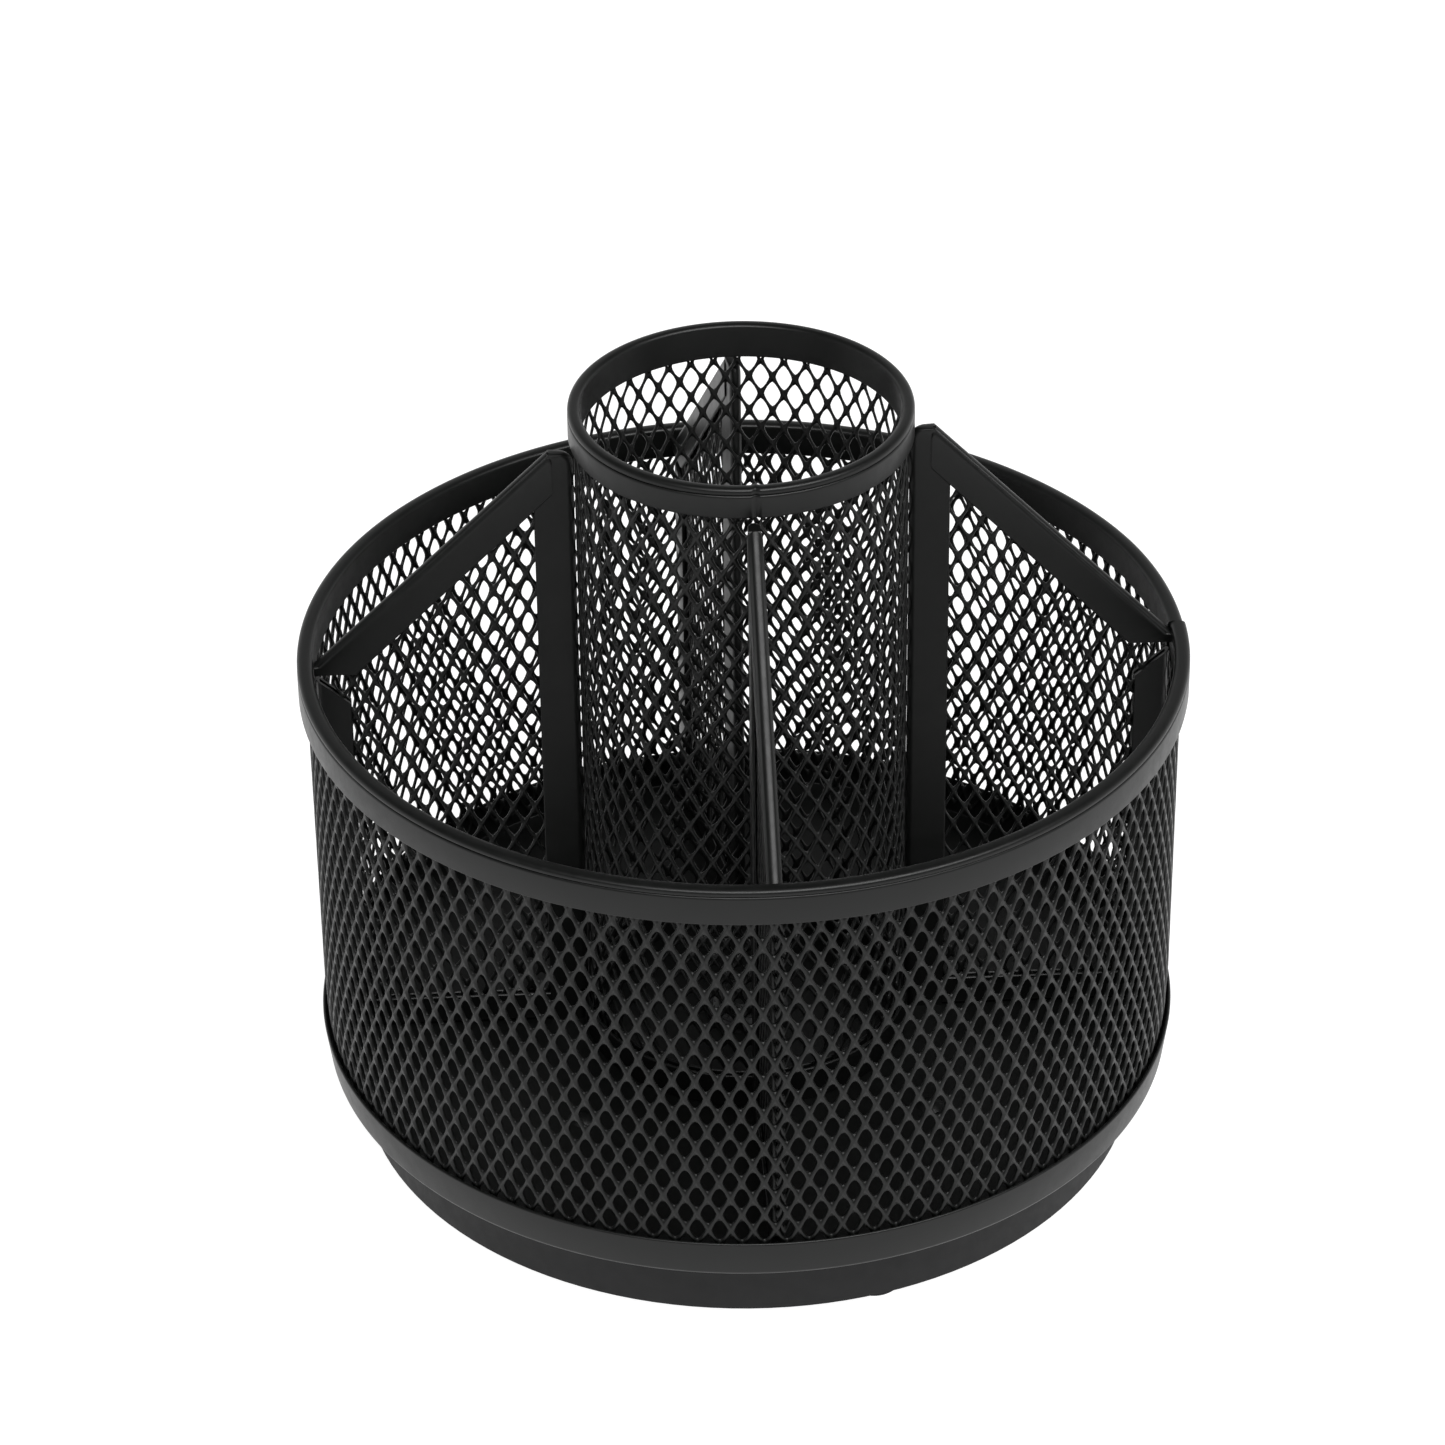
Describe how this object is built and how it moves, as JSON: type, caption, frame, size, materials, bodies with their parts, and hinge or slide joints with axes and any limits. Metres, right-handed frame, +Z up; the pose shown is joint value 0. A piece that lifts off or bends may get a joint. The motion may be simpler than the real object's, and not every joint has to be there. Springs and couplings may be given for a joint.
{
  "type": "desk organizer",
  "caption": "Round turning desk organizer in black expanded mesh: a drum of open compartments round a tall central cup, on a low base with a ball bearing.",
  "frame": {"origin": "on the desk, under the spin axis, at the bottom of the feet", "axes": "+Z up along the spin axis; +X along the right divider and +Y along the back divider, away from the viewer"},
  "size_m": [0.165, 0.165, 0.149],
  "materials": {
    "powder_coat": "black powder coat, satin with fine orange peel",
    "base_plastic": "moulded black plastic, fine matte texture",
    "foot_rubber": "matte",
    "bearing_steel": "bright zinc-plated steel",
    "nylon": "black nylon"
  },
  "bodies": {
    "base": {"base_shell": "base_plastic", "base_feet": "foot_rubber", "lower_race": "bearing_steel", "lower_race_screws": "bearing_steel", "pivot_pin": "bearing_steel", "thrust_washer": "bearing_steel", "pin_retainer": "powder_coat"},
    "ball_cage": {"ball_cage": "nylon", "bearing_balls": "bearing_steel"},
    "carousel": {"floor_pan": "powder_coat", "upper_race": "bearing_steel", "upper_race_rivets": "powder_coat", "pivot_bushing": "nylon", "drum_wall": "powder_coat", "drum_rim": "powder_coat", "cup_wall": "powder_coat", "cup_rim": "powder_coat", "cup_foot_ring": "powder_coat", "right_divider_mesh": "powder_coat", "right_divider_inner_post": "powder_coat", "right_divider_top_strip": "powder_coat", "right_divider_outer_post": "powder_coat", "right_divider_foot_strip": "powder_coat", "back_divider_mesh": "powder_coat", "back_divider_inner_post": "powder_coat", "back_divider_top_strip": "powder_coat", "back_divider_outer_post": "powder_coat", "back_divider_foot_strip": "powder_coat", "left_divider_mesh": "powder_coat", "left_divider_inner_post": "powder_coat", "left_divider_top_strip": "powder_coat", "left_divider_outer_post": "powder_coat", "left_divider_foot_strip": "powder_coat", "front_divider_mesh": "powder_coat", "front_divider_inner_post": "powder_coat", "front_divider_top_strip": "powder_coat", "front_divider_outer_post": "powder_coat", "front_divider_foot_strip": "powder_coat"}
  },
  "joints": [
    {"name": "carousel_spin", "type": "hinge", "parent": "base", "child": "carousel", "pos_m": [0, 0, 0.0136], "axis": [0, 0, 1], "continuous": true},
    {"name": "cage_spin", "type": "hinge", "parent": "base", "child": "ball_cage", "pos_m": [0, 0, 0.0108], "axis": [0, 0, 1], "continuous": true}
  ],
  "couplings": [
    {"joint": "cage_spin", "follows": "carousel_spin", "ratio": 0.5}
  ]
}
